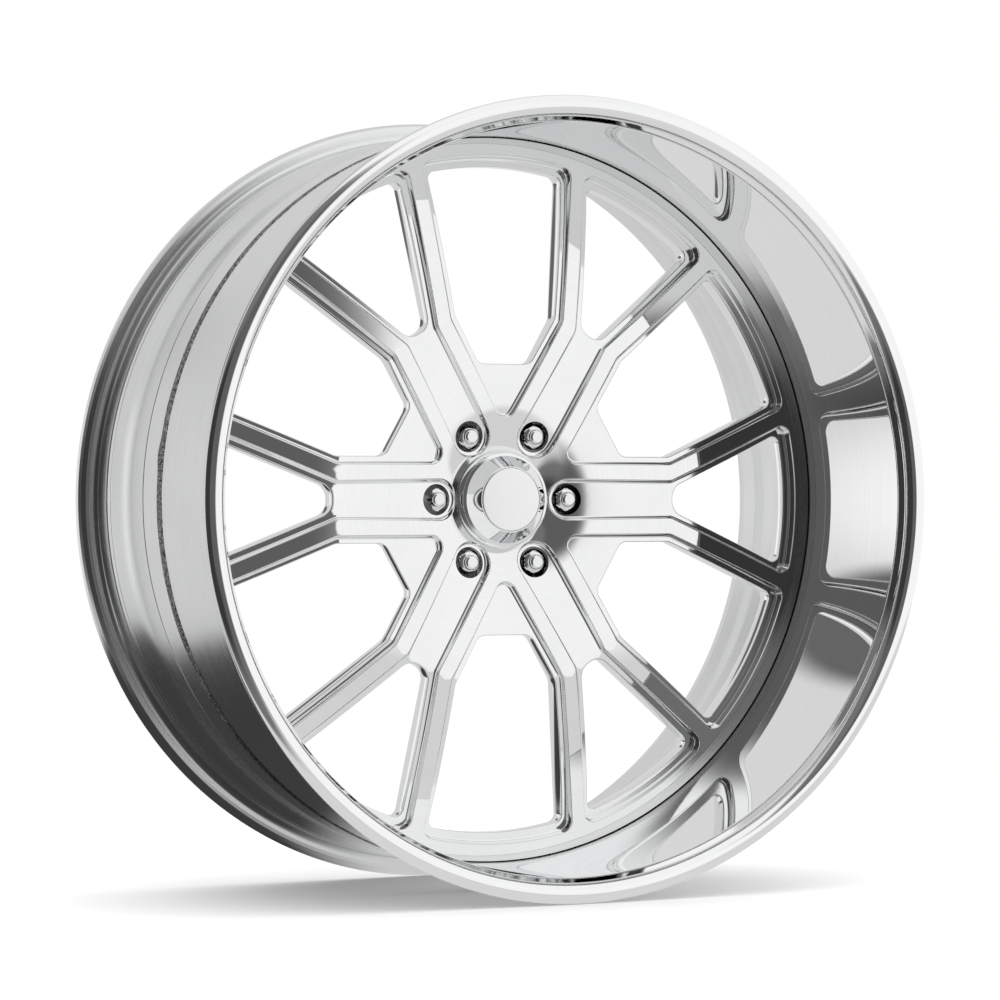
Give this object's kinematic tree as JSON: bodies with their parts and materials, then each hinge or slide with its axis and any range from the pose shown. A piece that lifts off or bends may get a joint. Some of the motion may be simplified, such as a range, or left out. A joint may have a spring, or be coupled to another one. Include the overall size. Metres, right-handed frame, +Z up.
{
  "type": "racing wheel rim",
  "caption": "Deep-dish two-piece racing wheel rim: spun barrel halves welded around a forged split-spoke centre, with lug nuts, domed centre cap and valve.",
  "frame": {"origin": "on the wheel's axis at the centre plane, midway between the two flanges", "axes": "+Y along the axle toward the vehicle, so the open dish and the cap face -Y; +X and +Z across the wheel, +Z up as it stands"},
  "size_m": [0.751, 0.3376, 0.751],
  "materials": {
    "polished_aluminium": "mirror polished",
    "satin_aluminium": "as-spun satin",
    "weld": "rippled weld bead",
    "chrome": "chrome plated",
    "steel": "zinc plated",
    "nickel_brass": "nickel plated brass",
    "brass": "machined brass",
    "rubber": "matt"
  },
  "bodies": {
    "wheel": {"outer_barrel": "polished_aluminium", "inner_barrel": "satin_aluminium", "barrel_weld": "weld", "centre_weld": "weld", "forged_centre": "polished_aluminium", "valve_stem": "nickel_brass", "valve_grommet": "rubber", "valve_washer": "steel", "valve_nut": "steel", "valve_core": "brass"},
    "cap": {"cap_body": "polished_aluminium", "cap_badge": "polished_aluminium", "cap_o_ring": "rubber", "cap_snap_ring": "steel"},
    "valve_pin": {"valve_pin": "brass"},
    "valve_cap": {"valve_cap": "chrome"},
    "lug_nut_1": {"lug_nut_1": "chrome"},
    "lug_nut_2": {"lug_nut_2": "chrome"},
    "lug_nut_3": {"lug_nut_3": "chrome"},
    "lug_nut_4": {"lug_nut_4": "chrome"},
    "lug_nut_5": {"lug_nut_5": "chrome"},
    "lug_nut_6": {"lug_nut_6": "chrome"}
  },
  "joints": [
    {"name": "lug_nut_1_turn", "type": "hinge", "parent": "wheel", "child": "lug_nut_1", "pos_m": [0.06985, 0.01, 0], "axis": [0, -1, 0], "continuous": true},
    {"name": "lug_nut_2_turn", "type": "hinge", "parent": "wheel", "child": "lug_nut_2", "pos_m": [0.03492, 0.01, 0.06049], "axis": [0, -1, 0], "continuous": true},
    {"name": "lug_nut_3_turn", "type": "hinge", "parent": "wheel", "child": "lug_nut_3", "pos_m": [-0.03492, 0.01, 0.06049], "axis": [0, -1, 0], "continuous": true},
    {"name": "lug_nut_4_turn", "type": "hinge", "parent": "wheel", "child": "lug_nut_4", "pos_m": [-0.06985, 0.01, 0], "axis": [0, -1, 0], "continuous": true},
    {"name": "lug_nut_5_turn", "type": "hinge", "parent": "wheel", "child": "lug_nut_5", "pos_m": [-0.03492, 0.01, -0.06049], "axis": [0, -1, 0], "continuous": true},
    {"name": "lug_nut_6_turn", "type": "hinge", "parent": "wheel", "child": "lug_nut_6", "pos_m": [0.03492, 0.01, -0.06049], "axis": [0, -1, 0], "continuous": true},
    {"name": "cap_pull", "type": "slide", "parent": "wheel", "child": "cap", "axis": [0, -1, 0], "range_m": [0, 0.06]},
    {"name": "valve_cap_turn", "type": "hinge", "parent": "wheel", "child": "valve_cap", "pos_m": [0.31241, 0.0727, 0.06926], "axis": [-0.9763, 0, -0.2164], "continuous": true},
    {"name": "valve_pin_press", "type": "slide", "parent": "wheel", "child": "valve_pin", "axis": [0.9763, 0, 0.2164], "range_m": [0, 0.0012], "stiffness_N_per_m": 600}
  ]
}
